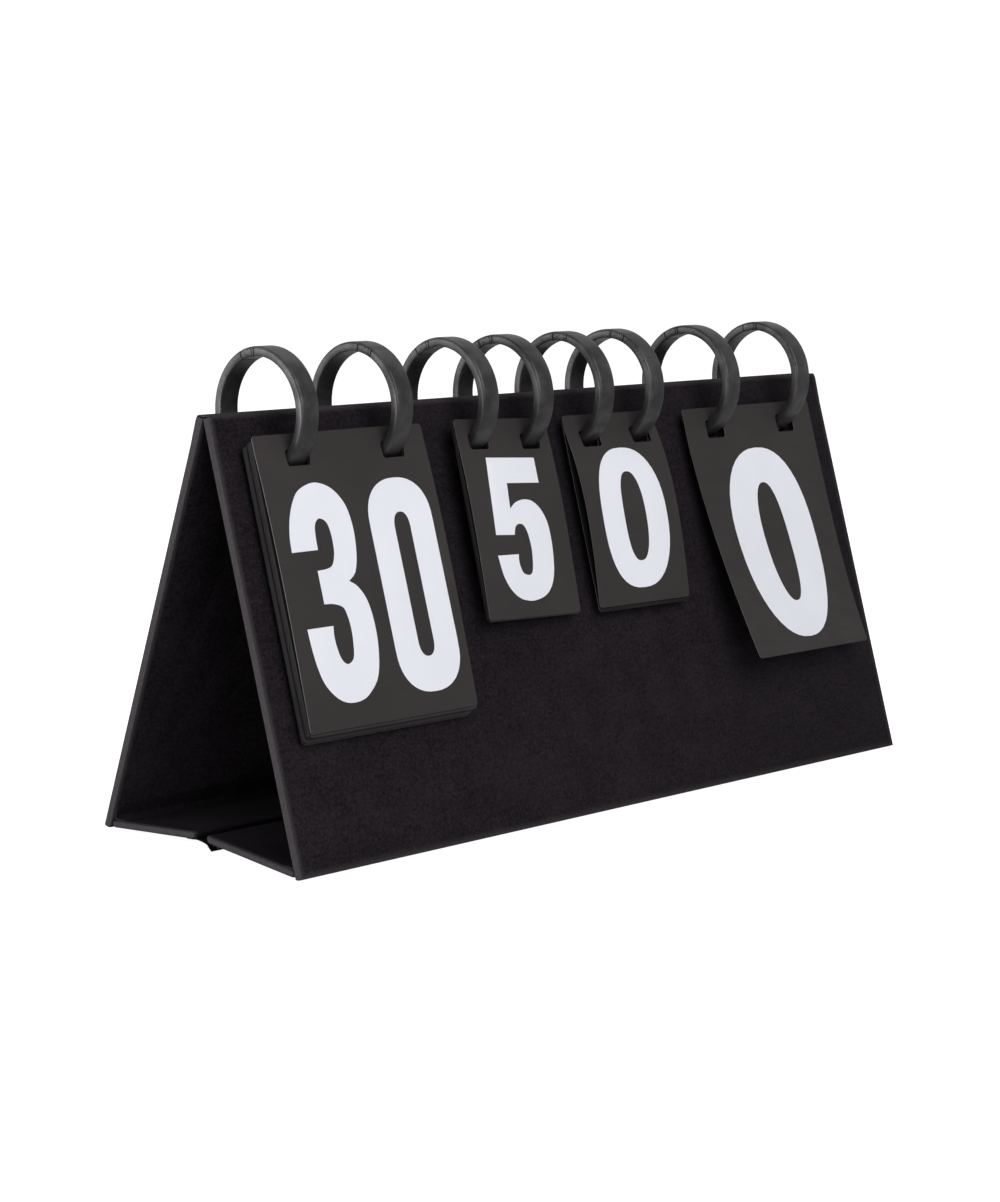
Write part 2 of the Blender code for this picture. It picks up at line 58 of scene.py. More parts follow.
# Panels and flaps.
PANEL_TOP, PANEL_FOOT, PANEL_T = 10.9, 193.95, 3.4
PANEL_SLOT_W, PANEL_SLOT_TOP, SLOT_ROUND = 13.0, 28.4, 1.4
PANEL_ROUND, FLAP_ROUND = 0.6, 1.25
CUT_REACH = 6
FLAP_T, FLAP_SLOPE, PIVOT_Z, PIVOT_OFF = 3.0, math.radians(5.0), 3.4, 0.15
FLAP_GAP_HALF, FLAP_UNDERCUT = 3.3, 1.2

# Cloth strips. TAB_END is the lower end of the pressed tabs in (y, z), which lean by TAB_LEAN.
RIDGE_T, FOOT_T, TAB_T = 0.34, 0.3, 0.6
RIDGE_INSET, FOOT_INSET, NAP_INSET = 0.15, 1.2, 3.0
TAB_HALF = 189.0
TAB_PITCH = TAB_T + CLEAR
TAB_END, TAB_LEAN = (-4.1, 1.85), (0.80, 0.60)

# Rings. A ring half that swings open on its pin needs the loose slot.
RING_OUTER, RING_INNER, RING_BAND, RING_Z = 26.2, 22.2, 9.7, 174.9
RING_MID = 23.95
RING_X = (-159.3, -107.2, -56.7, -22.8, 16.4, 49.8, 103.5, 155.0)
CLASP_TURN = (15.5, -15.0, 27.0, 15.5, -2.0, -12.0, 21.0, 9.0)
LOOSE_SIDE = (1, 1, 1, 1, 1, 1, -1, -1)
OPENING, CROSS_DEG, PIN_TURN, PIN_PLAY = math.radians(8), 25.5, 20, 0.9
OUTER_ROUND, INNER_ROUND, FULLNESS = 1.25, 0.8, 0.12
CLASP_REACH, CLASP_GAP, CLASP_ZONE = 1.7, 0.55, math.radians(7.0)
BAND_STEPS, CLASP_STEPS = 44, 5
PIN_R, BARREL_R, BARREL_HALF = 0.6, 1.45, 1.35
PIN_PAST, WEB_INSET, WEB_IN, WEB_OUT = 0.5, 0.45, 0.35, 25.35
WEB_START, WEB_LAP = 0.012, 0.02
RING_V = (APEX_Z - RING_Z) * COS_A
RING_N = -(APEX_Z - RING_Z) * SIN_A

# Cards.
BIG, SMALL = (92.8, 118.5), (60.0, 85.5)
CARD_T, LEAF_T, CARD_ROUND, CARD_SLOT_W, CARD_SLOT_H = 0.3, 0.21, 1.6, 12.5, 7.0
HANG_CLEAR, FOLD_CLEAR = 0.35, 0.3
GRID = 5.0
WHITE = (1, 1, 1, 1)


# ---- shader nodes ----
class Nodes:
    """Builds the node tree of a material or of the world."""

    def __init__(self, owner):
        self.owner = owner
        owner.use_nodes = True
        self.tree = owner.node_tree

    def link(self, value, target):
        if isinstance(value, bpy.types.NodeSocket):
            self.tree.links.new(value, target)
        else:
            target.default_value = value

    def add(self, kind, inputs=(), **settings):
        """Adds a node, fills its inputs by name or number, and returns its outputs."""
        node = self.tree.nodes.new("ShaderNode" + kind)
        for key, value in settings.items():
            setattr(node, key, value)
        for key, value in dict(inputs).items():
            self.link(value, node.inputs[key])
        return node.outputs

    def math(self, operation, *values):
        return self.add("Math", enumerate(values), operation=operation)[0]

    def most(self, values):
        return functools.reduce(lambda a, b: self.math("MAXIMUM", a, b), values)

    def weighted(self, *parts):
        """The sum of some values, each times its weight."""
        terms = [value if weight == 1 else self.math("MULTIPLY", value, weight) for value, weight in parts]
        return functools.reduce(lambda a, b: self.math("ADD", a, b), terms)

    def fit(self, value, low, high, to_low=0.0, to_high=1.0):
        spans = {"From Min": low, "From Max": high, "To Min": to_low, "To Max": to_high}
        return self.add("MapRange", {"Value": value, **spans})["Result"]

    def mix(self, fac, a, b):
        a, b = (c if isinstance(c, bpy.types.NodeSocket) else (*c, 1.0) for c in (a, b))
        return self.add("Mix", {0: fac, 6: a, 7: b}, data_type="RGBA")[2]


class Surface(Nodes):
    """The material of a piece: noise in object space that feeds its principled shader."""

    def __init__(self, name):
        super().__init__(bpy.data.materials.new(name))
        self.bsdf = self.tree.nodes["Principled BSDF"]
        self.point = self.add("TexCoord")["Object"]

    def parts(self, vector):
        return self.add("SeparateXYZ", {0: vector})

    def stretched(self, scale):
        return self.add("Mapping", {"Vector": self.point, "Scale": scale})[0]

    def noise(self, scale, detail, roughness=0.5, vector=None):
        inputs = {"Scale": scale, "Detail": detail, "Roughness": roughness}
        return self.add("TexNoise", {"Vector": vector or self.point, **inputs})["Fac"]

    def bump(self, height, distance, strength, under=None):
        inputs = {"Height": height, "Distance": distance, "Strength": strength}
        if under is not None:
            inputs["Normal"] = under
        return self.add("Bump", inputs)[0]

    def set(self, **inputs):
        for key, value in inputs.items():
            self.link(value, self.bsdf.inputs[key.replace("_", " ")])
        return self.owner


# The thread's pitch and how far the lighter ends reach in from each end, in metres; they are partly scuffing,
# partly painted highlight.
THREAD, LIGHT_END_REACH = 0.00052, 0.0025


def bookcloth(name, across, dark, light, edge, gloss, scuff_and_highlight_z=()):
    """Fine black bookcloth, lighter at its ends: partly scuffing, partly painted highlight. across is the
    second thread axis, scuff_and_highlight_z more such lighter bands in z.
    """
    n = Surface(name)
    axis = dict(zip("xyz", n.parts(n.point)))
    pitch = 2 * math.pi / THREAD
    warp, weft = (n.math("SINE", n.math("MULTIPLY", axis[key], pitch)) for key in ("x", across))
    weave = n.math("MULTIPLY", warp, weft)
    slub = n.noise(1.0, 3.0, 0.6, n.stretched((160, 900, 900)))
    grain = n.noise(820, 4.0, 0.75)
    mottle = n.noise(60, 4.0, 0.6)
    cloud = n.noise(3.2, 2.0)
    tone = n.weighted((grain, 1.2), (weave, 0.1), (slub, 0.25), (mottle, 0.3), (cloud, 0.3))
    color = n.mix(n.fit(tone, 0.72, 1.35), dark, light)
    end = WIDTH / 2 * MM
    # The ends and the z bands turn lighter: partly scuffing, partly painted highlight where the edges catch
    # the light.
    scuff_and_highlight_masks = [n.fit(n.math("ABSOLUTE", axis["x"]), end - LIGHT_END_REACH, end)]
    scuff_and_highlight_masks += [n.fit(axis["z"], unmarked_z, lightest_z) for unmarked_z, lightest_z in scuff_and_highlight_z]
    scuff_and_highlight = n.math("MULTIPLY", n.most(scuff_and_highlight_masks), n.fit(n.noise(900, 3.0), 0.35, 0.65, 0.7, 1.0))
    color = n.mix(scuff_and_highlight, color, edge)
    uneven = n.bump(n.noise(26, 2.0), distance=0.0009, strength=0.35)
    normal = n.bump(n.weighted((weave, 0.4), (grain, 1)), distance=0.00016, strength=0.55, under=uneven)
    n.set(Base_Color=color, Roughness=n.fit(grain, 0.3, 0.7, 0.66, 0.84), Normal=normal)
    return n.set(Specular_IOR_Level=gloss, Sheen_Weight=gloss * 0.15, Sheen_Roughness=0.45)


def cardstock(name, dark, light, roughness=0.55, tooth_height=0.00005):
    """Matt coated card with a fine tooth and a few faint clouds of rubbing."""
    n = Surface(name)
    tooth = n.noise(2600, 2.0, 0.6)
    cloud = n.noise(24, 3.0)
    rub = n.noise(1.0, 2.0, 0.6, n.stretched((38, 240, 90)))
    color = n.mix(n.fit(n.weighted((tooth, 0.5), (cloud, 0.5)), 0.3, 0.7), dark, light)
    uneven = n.bump(n.noise(13, 2.0), distance=0.0006, strength=0.25)
    n.set(Normal=n.bump(tooth, distance=tooth_height, strength=0.5, under=uneven))
    rough = n.fit(rub, 0.3, 0.7, roughness - 0.06, roughness + 0.08)
    return n.set(Base_Color=color, Roughness=rough, Specular_IOR_Level=0.19)


# The latch's shoulders: (place along the band from the clasp, slant, half width), in millimetres.
LATCH_LINES = ((3.9, -0.15, 0.42), (-2.9, 0.55, 0.4), (-4.3, 0.6, 0.36))


def moulded(name, dark, light):
    """Semi-gloss moulded plastic with a faint haze, and the latch's lines engraved across the band as a bump,
    darkened by painted shade in their grooves.
    """
    n = Surface(name)
    haze = n.noise(95, 3.0, 0.55)
    flow = n.noise(1.0, 2.0, 0.5, n.stretched((60, 200, 200)))
    arc = n.parts(n.add("Attribute", attribute_name="arc")["Vector"])
    along, radial = arc[0], n.math("ABSOLUTE", arc[1])
    lines = []
    for at, slant, wide in LATCH_LINES:
        off = n.math("SUBTRACT", n.math("SUBTRACT", along, at), n.math("MULTIPLY", radial, slant))
        lines.append(n.fit(n.math("ABSOLUTE", off), wide, wide * 0.35))
    line = n.most(lines)
    color = n.mix(n.fit(haze, 0.35, 0.7), dark, light)
    # The latch lines' grooves are painted near black: painted shade in the engraved grooves.
    color = n.mix(line, color, tuple(c * 0.15 for c in dark))
    rough = n.fit(n.weighted((haze, 0.6), (flow, 0.4)), 0.38, 0.62, 0.34, 0.42)
    n.set(Normal=n.bump(n.math("SUBTRACT", 1.0, line), distance=0.0003, strength=1.0))
    return n.set(Base_Color=color, Roughness=rough, Specular_IOR_Level=n.fit(haze, 0.40, 0.62, 0.26, 0.50))


def fibrous(name, dark, light, scale, roughness, height):
    """Pulp board or fastener nap: short random fibres."""
    n = Surface(name)
    fibre = n.noise(1.0, 4.0, 0.7, n.stretched((scale * 0.4, scale, scale)))
    speck = n.noise(scale * 2.2, 2.0, 0.6)
    tone = n.weighted((fibre, 0.6), (speck, 0.4))
    n.set(Base_Color=n.mix(n.fit(tone, 0.35, 0.65), dark, light), Roughness=roughness)
    return n.set(Normal=n.bump(tone, distance=height, strength=0.8), Specular_IOR_Level=0.25)


UPRIGHT = bookcloth(
    "bookcloth_upright", "z", (0.0024, 0.0016, 0.0023), (0.0240, 0.0197, 0.0240), (0.044, 0.040, 0.043),
    gloss=0.03, scuff_and_highlight_z=((0.0035, 0.0), (0.1734, 0.1756)),
)
# The flaps' and tabs' cloth: the panels' cloth painted about half as dark, painted shade for surfaces lying
# under the panels.
FLAP_CLOTH_SHADE = bookcloth(
    "bookcloth_flat", "y", (0.0014, 0.0010, 0.0015), (0.0110, 0.0090, 0.0112), (0.046, 0.042, 0.046),
    gloss=0.02,
)
CARD = cardstock("card_black", (0.0200, 0.0165, 0.0170), (0.0310, 0.0265, 0.0270))
# Two copies of one cut edge: a light one, a painted highlight, for edges in the light, and a dark one,
# painted shade, for edges inside the stacks.
CUT_SIDE_HIGHLIGHT = cardstock("card_cut_edge", (0.06, 0.058, 0.06), (0.16, 0.155, 0.16), 0.6)
CUT_SIDE_SHADE = cardstock("card_cut_edge_dark", (0.004, 0.0038, 0.004), (0.020, 0.019, 0.020), 0.6)
# A darker copy of the card face, painted shade, for backing cards in the shadow of a bowed front card.
CARD_IN_SHADE = cardstock("card_black_shaded", (0.0020, 0.0018, 0.0019), (0.0050, 0.0045, 0.0047), 0.75)
INK = cardstock("ink_white", (0.70, 0.71, 0.765), (0.77, 0.78, 0.84), 0.5, 0.00003)
PLASTIC = moulded("ring_plastic", (0.0160, 0.0148, 0.0154), (0.0270, 0.0250, 0.0258))
BOARD = fibrous("greyboard", (0.15, 0.135, 0.115), (0.30, 0.275, 0.235), 600, 0.9, 0.0001)
NAP = fibrous("fastener_nap", (0.006, 0.006, 0.0065), (0.040, 0.040, 0.043), 1500, 0.85, 0.0003)


# ---- mesh helpers ----
def piece(name, mesh, materials, body, nodes, matrix=None):
    """A finished object that rides on a body, if one is given, and stands for CAD nodes."""
    obj = bpy.data.objects.new(name, mesh)
    bpy.context.scene.collection.objects.link(obj)
    for mat in materials:
        mesh.materials.append(mat)
    if matrix is not None:
        mesh.transform(matrix)
    if body:
        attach(obj, body)
    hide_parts(*nodes)
    return obj


SHARP = math.radians(38)


def mesh_of(name, verts, faces, indices=None):
    mesh = bpy.data.meshes.new(name)
    mesh.from_pydata([tuple(c * MM for c in v) for v in verts], [], faces)
    bm = bmesh.new()
    bm.from_mesh(mesh)
    bmesh.ops.recalc_face_normals(bm, faces=bm.faces)
    bm.to_mesh(mesh)
    bm.free()
    if indices:
        mesh.polygons.foreach_set("material_index", indices)
    mesh.polygons.foreach_set("use_smooth", [True] * len(mesh.polygons))
    mesh.set_sharp_from_angle(angle=SHARP)
    return mesh


def prisms(name, pairs):
    """A mesh of closed prisms, each between two outlines with the same number of points."""
    bm = bmesh.new()
    for outlines in pairs:
        near, far = ([bm.verts.new(tuple(c * MM for c in p)) for p in outline] for outline in outlines)
        for i in range(len(near)):
            j = (i + 1) % len(near)
            bm.faces.new((near[i], near[j], far[j], far[i]))
        bm.faces.new(near)
        bm.faces.new(far)
    bmesh.ops.recalc_face_normals(bm, faces=bm.faces)
    mesh = bpy.data.meshes.new(name)
    bm.to_mesh(mesh)
    bm.free()
    return mesh


def board(name, section):
    """A prism the width of the stand from a section in (y, z)."""
    return prisms(name, [[[(x, y, z) for y, z in section] for x in (-WIDTH / 2, WIDTH / 2)]])


def tube(faces, rows):
    """Joins rows of vertex numbers with quads and closes both ends."""
    for low, high in zip(rows, rows[1:]):
        for i in range(len(low)):
            j = (i + 1) % len(low)
            faces.append((low[i], low[j], high[j], high[i]))
    faces.append(tuple(rows[0]))
    faces.append(tuple(rows[-1][::-1]))


def panel_matrix(side):
    """Local point: (x, side * n, -v); n stands out of the outer face, v runs down from the apex."""
    return Matrix.Translation((0, 0, APEX_Z * MM)) @ Matrix.Rotation(side * HALF_ANGLE, 4, "X")


def world_yz(side, n, v):
    return (side * (v * SIN_A + n * COS_A), APEX_Z + n * SIN_A - v * COS_A)


def rounded(x0, x1, z0, z1, radius, steps=4):
    """The outline of a rectangle with round corners."""
    points = []
    for x, z, start in ((x1, z1, 0), (x0, z1, 90), (x0, z0, 180), (x1, z0, 270)):
        cx = x - radius if x == x1 else x + radius
        cz = z - radius if z == z1 else z + radius
        for i in range(steps + 1):
            a = math.radians(start + 90 * i / steps)
            points.append((cx + radius * math.cos(a), cz + radius * math.sin(a)))
    return points


def split_sides(loop, step):
    """The same outline with points along its straight sides, so that they can bend."""
    points = []
    for (ax, ay), (bx, by) in zip(loop, loop[1:] + loop[:1]):
        parts = max(1, int(math.dist((ax, ay), (bx, by)) / step))
        points += [(ax + (bx - ax) * i / parts, ay + (by - ay) * i / parts) for i in range(parts)]
    return points


def covered(name, mesh, cutter, radius):
    """The board's cloth skin: cut, then every edge rounded over, as one evaluated mesh."""
    obj = bpy.data.objects.new(name, mesh)
    bpy.context.scene.collection.objects.link(obj)
    tool = None
    if cutter:
        tool = bpy.data.objects.new(name + "_cut", cutter)
        bpy.context.scene.collection.objects.link(tool)
        cut = obj.modifiers.new("cut", "BOOLEAN")
        cut.operation, cut.solver, cut.object = "DIFFERENCE", "EXACT", tool
    soft = obj.modifiers.new("soft", "BEVEL")
    soft.width, soft.segments, soft.limit_method = radius * MM, 4, "ANGLE"
    soft.angle_limit, soft.harden_normals = math.radians(30), True
    graph = bpy.context.evaluated_depsgraph_get()
    made = bpy.data.meshes.new_from_object(obj.evaluated_get(graph))
    bpy.data.objects.remove(obj, do_unlink=True)
    if tool:
        bpy.data.objects.remove(tool, do_unlink=True)
    made.name = name
    made.polygons.foreach_set("use_smooth", [True] * len(made.polygons))
    return made


# ---- boards ----
def ring_cross(radius, n):
    """How far down the panel a circle about the ring's centre lies, at height n above the outer face."""
    return RING_V + math.sqrt(radius**2 - (n - RING_N) ** 2)


def swing(turn, loose):
    """How far the swinging half drops where it passes its panel; the pin sits opposite the clasp."""
    reach = math.radians(CROSS_DEG + loose * turn)
    return 2 * RING_MID * math.sin(reach / 2) * math.sin(OPENING)


def slot_tool(side):
    """The cutter for a panel's ring slots. A slot that a ring's pin lies in gets a little play."""
    seat = ring_cross(RING_OUTER, RING_N) + CLEAR
    half = PANEL_SLOT_W / 2
    pairs = []
    for x, loose, turn in zip(RING_X, LOOSE_SIDE, CLASP_TURN):
        bottom = seat
        if loose == side:
            bottom += swing(turn, loose) + CLEAR
        elif loose * turn > PIN_TURN:
            bottom += PIN_PLAY
        outline = rounded(x - half, x + half, -bottom, -PANEL_SLOT_TOP, SLOT_ROUND)
        pairs.append([[(a, y, b) for a, b in outline] for y in (-CUT_REACH, CUT_REACH)])
    return prisms("slot_tool", pairs)


def board_panel(side, word):
    foot_in = (APEX_Z - PANEL_T * SIN_A) / COS_A
    foot_out = (APEX_Z - PANEL_FOOT * COS_A) / SIN_A
    outline = [(0, PANEL_TOP), (0, PANEL_FOOT), (-foot_out, PANEL_FOOT)]
    outline += [(-PANEL_T, foot_in), (-PANEL_T, PANEL_TOP)]
    section = [(side * n, -v) for n, v in outline]
    name = f"panel_{word}_cloth"
    mesh = covered(name, board("panel", section), slot_tool(side), PANEL_ROUND)
    piece(name, mesh, [UPRIGHT], f"stand_{word}", [f"{word}_cover"], panel_matrix(side))


PIVOT_V = (APEX_Z - (PANEL_T + PIVOT_OFF) * SIN_A - PIVOT_Z) / COS_A
PIVOT_Y = PIVOT_V * SIN_A - (PANEL_T + PIVOT_OFF) * COS_A
FLAP_LENGTH = (PIVOT_Y - FLAP_GAP_HALF) / math.cos(FLAP_SLOPE)


def flap_matrix(side):
    """Local point: (x, -side * u, w); u runs from the pivot to the free edge, w stands up."""
    pivot = Matrix.Translation((0, side * PIVOT_Y * MM, PIVOT_Z * MM))
    return pivot @ Matrix.Rotation(-side * FLAP_SLOPE, 4, "X")


def flap_yz(side, u, w):
    y = side * (PIVOT_Y - u * math.cos(FLAP_SLOPE) + w * math.sin(FLAP_SLOPE))
    return (y, PIVOT_Z + u * math.sin(FLAP_SLOPE) + w * math.cos(FLAP_SLOPE))


def board_flap(side, word):
    top, bottom = -PIVOT_OFF, -PIVOT_OFF - FLAP_T
    tip = FLAP_LENGTH - FLAP_UNDERCUT
    outline = [(PIVOT_OFF, top), (PIVOT_OFF, bottom), (tip, bottom), (FLAP_LENGTH, top)]
    section = [(-side * u, w) for u, w in outline]
    name = f"flap_{word}_cloth"
    mesh = covered(name, board("flap", section), None, FLAP_ROUND)
    piece(name, mesh, [FLAP_CLOTH_SHADE], f"flap_{word}", [f"base_{word}_cover"], flap_matrix(side))


for side, word in ((-1, "front"), (1, "rear")):
    board_panel(side, word)
    board_flap(side, word)
    for node in (f"{word}_board", f"base_{word}_board"):
        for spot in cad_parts[node].material_slots:
            spot.material = BOARD


# ---- cloth strips ----
def catmull(points, steps, closed=False):
    """A smooth line through points. A point with a third value of 1 is a corner."""
    plain = [p[:2] for p in points]
    corner = [len(p) > 2 and p[2] for p in points]
    count = len(points)

    def mirrored(p, q):
        return (2 * p[0] - q[0], 2 * p[1] - q[1])

    made = []
    for i in range(count if closed else count - 1):
        j = (i + 1) % count
        p1, p2 = plain[i], plain[j]
        first, last = not closed and i == 0, not closed and j == count - 1
        p0 = mirrored(p1, p2) if first or corner[i] else plain[i - 1]
        p3 = mirrored(p2, p1) if last or corner[j] else plain[(j + 1) % count]
        number = 1 if corner[i] and corner[j] else steps
        for s in range(number):
            t = s / number
            point = []
            for a, b, c, d in zip(p0, p1, p2, p3):
                square = 2 * a - 5 * b + 4 * c - d
                cube = 3 * b - a - 3 * c + d
                point.append(0.5 * (2 * b + (c - a) * t + square * t * t + cube * t**3))
            made.append(tuple(point))
    if not closed:
        made.append(plain[-1])
    return made


def feathered(t):
    """The share of its thickness that a glued cloth keeps, thin at both ends."""
    return min(1.0, 0.12 + 9 * min(t, 1 - t))


def sheet_piece(name, path, thick, half, mat, body, nodes, taper=None, columns=24):
    """A cloth strip along x from a path in (y, z), thick millimetres through, its ends closed."""
    low, high = [], []
    for i, (y, z) in enumerate(path):
        ay, az = path[max(i - 1, 0)]
        by, bz = path[min(i + 1, len(path) - 1)]
        span = math.hypot(by - ay, bz - az)
        ny, nz = -(bz - az) / span, (by - ay) / span
        t = thick / 2 * (taper(i / (len(path) - 1)) if taper else 1.0)
        low.append((y - ny * t, z - nz * t))
        high.append((y + ny * t, z + nz * t))
    loop = low + high[::-1]
    size = len(loop)
    verts, faces = [], []
    for c in range(columns + 1):
        x = -half + 2 * half * c / columns
        verts += [(x, y, z) for y, z in loop]
    for c in range(columns):
        for i in range(size):
            j = (i + 1) % size
            faces.append((c * size + i, c * size + j, (c + 1) * size + j, (c + 1) * size + i))
    for c in (0, columns):
        for i in range(len(path) - 1):
            a, b = c * size + i, c * size + i + 1
            d, e = c * size + size - 1 - i, c * size + size - 2 - i
            faces.append((a, b, e, d))
    strip = piece(name, mesh_of(name, verts, faces), [mat], body, nodes)
    return strip


# Ridge: one cloth runs from the front face over both top edges to the rear face.
front_half = [world_yz(-1, n, v) for n, v in ((0.03, 25.0), (0.10, 20.0), (0.26, 15.0), (0.30, 12.4))]
edge_y, edge_z = world_yz(-1, 0.0, PANEL_TOP)
front_half += [(edge_y + 0.35, edge_z + 0.22), (-1.7, edge_z + 0.20)]
ridge_dip = (0.0, front_half[-1][1] - 0.30)
ridge_path = catmull(front_half + [ridge_dip] + [(-y, z) for y, z in front_half[::-1]], 5)
ridge = sheet_piece(
    "ridge_cloth", ridge_path, RIDGE_T, WIDTH / 2 - RIDGE_INSET, UPRIGHT, None, ["ridge_hinge"],
    taper=feathered,
)
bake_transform(ridge)

# Foot: cloth lines the inner corner between each panel and its base flap.
# Each pair is how far the cloth stands off the board, and its distance from the corner.
FOOT_UP = ((0.06, 7.0), (0.3, 4.0), (0.42, 1.6))
for side, word in ((-1, "front"), (1, "rear")):
    up = [world_yz(side, -PANEL_T - off, PIVOT_V - away) for off, away in FOOT_UP]
    along = [flap_yz(side, away, -PIVOT_OFF + off) for off, away in FOOT_UP[::-1]]
    path = catmull(up + along, 5)[::-side]
    foot = sheet_piece(
        f"foot_cloth_{word}", path, FOOT_T, WIDTH / 2 - FOOT_INSET, UPRIGHT, None, [f"foot_hinge_{word}"],
        taper=feathered,
    )
    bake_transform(foot)


def tab_point(place, along):
    """A point of the pressed tabs: place 0 to 3 from the front, along is measured up from the lower end."""
    off = (place - 1.5) * TAB_PITCH
    across, up = TAB_LEAN
    return (TAB_END[0] + across * along + up * off, TAB_END[1] + up * along - across * off)


# Tabs: each is glued under its flap, turns down at the free edge and leans to the front.
# Then the fastener strips between them.
under = -PIVOT_OFF - FLAP_T - CLEAR - TAB_T / 2
for side, word, place, last_glued, heights in (
    (-1, "front", 0, 2.6, (1.9, 0.9, 0.0)),
    (1, "rear", 3, 2.2, (4.2, 2.0, 0.0)),
):
    glued = [flap_yz(side, FLAP_LENGTH - back, under) for back in (9.0, 5.0, last_glued)]
    down = [tab_point(place, along) for along in heights]
    sheet_piece(
        f"tab_{word}_cloth", catmull(glued + down, 4), TAB_T, TAB_HALF, FLAP_CLOTH_SHADE, f"flap_{word}", [f"tab_{word}"],
    )
for name, word, place, height in (("hook_strip", "front", 1, 2.2), ("loop_strip", "rear", 2, 3.0)):
    path = [tab_point(place, height * (1 - i / 4)) for i in range(5)]
    sheet_piece(
        name + "_nap", path, TAB_T, TAB_HALF - NAP_INSET, NAP, f"flap_{word}", [name],
        columns=60,
    )


# ---- rings ----
def ring_section(half, inset=0.0):
    """Cross-section of the band as (x, radius), its corners rounded and its sides a little full."""
    outer, inner = RING_OUTER - inset, RING_INNER + inset
    points = []
    for sx, sr, start in ((1, 1, 0), (-1, 1, 90), (-1, -1, 180), (1, -1, 270)):
        r = OUTER_ROUND if sr > 0 else INNER_ROUND
        cx, cr = sx * (half - r), outer - r if sr > 0 else inner + r
        for i in range(6):
            a = math.radians(start + 18 * i)
            points.append((cx + r * math.cos(a), cr + r * math.sin(a)))
        if start in (90, 270):
            points.append((sx * (half + FULLNESS), RING_MID + 0.05))
    return points


def sweep(verts, faces, side, stations):
    """Adds a band through stations of (angle from the pin, section, end twist by radius)."""
    rows = []
    for phi, section, twist in stations:
        row = []
        for x, r in section:
            angle = phi + (twist(r) if twist else 0.0)
            row.append(len(verts))
            verts.append((x, side * r * math.sin(angle), -r * math.cos(angle)))
        rows.append(row)
    tube(faces, rows)


def barrel(verts, faces, radius, x0, x1, steps=28, chamfer=0.18):
    """Adds a cylinder about the pin's axis, its rims cut back."""
    rows = []
    rim = radius - chamfer
    for x, r in ((x0, rim), (x0 + chamfer, radius), (x1 - chamfer, radius), (x1, rim)):
        row = []
        for i in range(steps):
            a = 2 * math.pi * i / steps
            row.append(len(verts))
            verts.append((x, r * math.cos(a), r * math.sin(a) - RING_MID))
        rows.append(row)
    tube(faces, rows)


def ring_half(side):
    """One half of a binding ring, from its knuckle at the pin to its zig-zag clasp."""
    verts, faces = [], []
    half = RING_BAND / 2
    full = ring_section(half)
    knuckle = math.asin((BARREL_R + 2 * CLEAR) / RING_MID)
    lean = -side * CLASP_REACH
    # The gap between the halves shows a little finer than the part's.
    gap = CLASP_GAP / 2 * 0.55

    def clasp(r):
        """How much further than half a turn the band's end reaches at a radius, as an angle."""
        middle = 1 - 2 * abs(r - RING_MID) / (RING_OUTER - RING_INNER)
        return (lean * (2 * middle - 1) - gap) / RING_MID

    plain_end = math.pi - CLASP_ZONE
    plain = plain_end - knuckle
    stations = [(knuckle + plain * i / BAND_STEPS, full, None) for i in range(BAND_STEPS + 1)]
    # A fine groove crosses the side faces where the latch begins.
    for along, depth in ((4.4, 0.0), (4.25, 0.26), (3.95, 0.26), (3.8, 0.0)):
        stations.append((plain_end - (along - 3.0) / RING_MID, ring_section(half - depth, depth * 0.5), None))
    stations.sort(key=lambda s: s[0])
    for i in range(1, CLASP_STEPS + 1):
        t = i / CLASP_STEPS
        stations.append((math.pi - CLASP_ZONE * (1 - t), full, lambda r, share=t * t: share * clasp(r)))
    sweep(verts, faces, side, stations)
    if side < 0:
        webs = [(-BARREL_HALF, BARREL_HALF)]
    else:
        outer_x, inner_x = half - WEB_INSET, BARREL_HALF + CLEAR
        webs = [(-outer_x, -inner_x), (inner_x, outer_x)]
    for x0, x1 in webs:
        section = [(x0, RING_INNER + WEB_IN), (x1, RING_INNER + WEB_IN), (x1, WEB_OUT), (x0, WEB_OUT)]
        sweep(verts, faces, side, [(WEB_START, section, None), (knuckle + WEB_LAP, section, None)])
        barrel(verts, faces, BARREL_R, x0, x1)
    if side > 0:
        barrel(verts, faces, PIN_R, -BARREL_HALF - PIN_PAST, BARREL_HALF + PIN_PAST, 20, 0.05)
    return verts, faces


RING_FORMS = {-1: ring_half(-1), 1: ring_half(1)}
for number, (x, turn) in enumerate(zip(RING_X, CLASP_TURN), 1):
    spun = Matrix.Translation((x * MM, 0, RING_Z * MM)) @ Matrix.Rotation(math.radians(-turn), 4, "X")
    for side, word in ((-1, "front"), (1, "rear")):
        verts, faces = RING_FORMS[side]
        name = f"ring_{number}_{word}"
        mesh = mesh_of(name, verts, faces)
        # Where each point lies: along the band from the clasp, off its middle radius, and across it.
        arc = mesh.attributes.new("arc", "FLOAT_VECTOR", "POINT")
        for data, (vx, vy, vz) in zip(arc.data, verts):
            from_clasp = math.pi - abs(math.atan2(vy, -vz))
            data.vector = (side * from_clasp * RING_MID, math.hypot(vy, vz) - RING_MID, vx)
        piece(name + "_band", mesh, [PLASTIC], name, [name], spun)


# ---- cards ----
# Outlines are in card millimetres, from the card's top left corner.
QUARTER_STEPS, SAME_POINT = 12, 0.02


